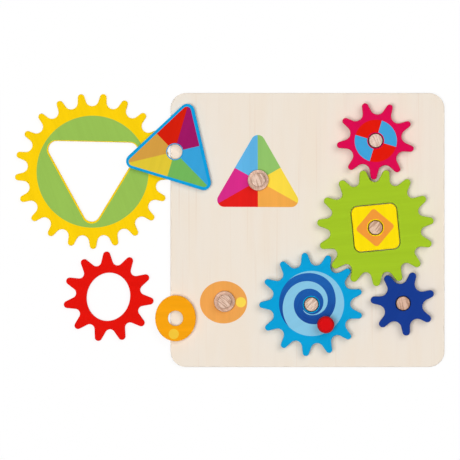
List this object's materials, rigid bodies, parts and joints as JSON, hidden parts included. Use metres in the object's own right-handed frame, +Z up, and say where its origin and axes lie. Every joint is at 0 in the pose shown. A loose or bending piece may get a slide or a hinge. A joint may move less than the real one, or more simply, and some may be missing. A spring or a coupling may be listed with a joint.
{
  "type": "wooden crank gear toy",
  "caption": "Wooden gear board with a crank knob: toothed wheels on pegs turn together, and ring wheels with shape-matched hubs lie loose beside it.",
  "frame": {"origin": "centre of the board's underside, on the surface that it rests on", "axes": "+Z up out of the board, +X towards the wheels in mesh, +Y towards the pink wheel's edge of the board"},
  "size_m": [0.4389, 0.28, 0.04],
  "materials": {
    "board_wood": "satin",
    "peg_wood": "satin",
    "yellow_paint": "satin",
    "red_paint": "satin",
    "green_paint": "satin",
    "pink_paint": "satin",
    "blue_paint": "satin",
    "navy_paint": "satin",
    "triangle_paint": "satin",
    "oval_paint": "satin",
    "square_paint": "satin",
    "knob_paint": "gloss"
  },
  "bodies": {
    "board": {"base_board": "board_wood", "triangle_peg": "peg_wood", "oval_peg": "peg_wood", "pink_peg": "peg_wood", "green_peg": "peg_wood", "blue_peg": "peg_wood", "navy_peg": "peg_wood"},
    "green_wheel": {"green_gear": "green_paint"},
    "pink_wheel": {"pink_gear": "pink_paint"},
    "blue_wheel": {"blue_gear": "blue_paint", "crank_knob": "knob_paint"},
    "navy_wheel": {"navy_gear": "navy_paint"},
    "square_hub": {"square_insert": "square_paint"},
    "yellow_ring": {"yellow_ring_gear": "yellow_paint"},
    "triangle_hub": {"triangle_insert": "triangle_paint"},
    "red_ring": {"red_ring_gear": "red_paint"},
    "oval_hub": {"oval_insert": "oval_paint"}
  },
  "joints": [
    {"name": "green_spin", "type": "hinge", "parent": "board", "child": "green_wheel", "pos_m": [0.0692, 0.0024, 0.017], "axis": [0, 0, 1], "continuous": true},
    {"name": "pink_spin", "type": "hinge", "parent": "board", "child": "pink_wheel", "pos_m": [0.06935, 0.09118, 0.017], "axis": [0, 0, 1], "continuous": true},
    {"name": "blue_spin", "type": "hinge", "parent": "board", "child": "blue_wheel", "pos_m": [0.00366, -0.07584, 0.017], "axis": [0, 0, 1], "continuous": true},
    {"name": "navy_spin", "type": "hinge", "parent": "board", "child": "navy_wheel", "pos_m": [0.09729, -0.07479, 0.017], "axis": [0, 0, 1], "continuous": true},
    {"name": "square_lift", "type": "slide", "parent": "green_wheel", "child": "square_hub", "axis": [0, 0, 1], "range_m": [0, 0.03]},
    {"name": "yellow_lift", "type": "slide", "parent": "board", "child": "yellow_ring", "axis": [0, 0, 1], "range_m": [0, 0.04]},
    {"name": "triangle_lift", "type": "slide", "parent": "yellow_ring", "child": "triangle_hub", "axis": [0, 0, 1], "range_m": [0, 0.03]},
    {"name": "red_lift", "type": "slide", "parent": "board", "child": "red_ring", "axis": [0, 0, 1], "range_m": [0, 0.04]},
    {"name": "oval_lift", "type": "slide", "parent": "board", "child": "oval_hub", "axis": [0, 0, 1], "range_m": [0, 0.03]}
  ],
  "couplings": [
    {"joint": "pink_spin", "follows": "green_spin", "ratio": -1.6667},
    {"joint": "blue_spin", "follows": "green_spin", "ratio": -1.1538},
    {"joint": "navy_spin", "follows": "green_spin", "ratio": -2.1429}
  ]
}
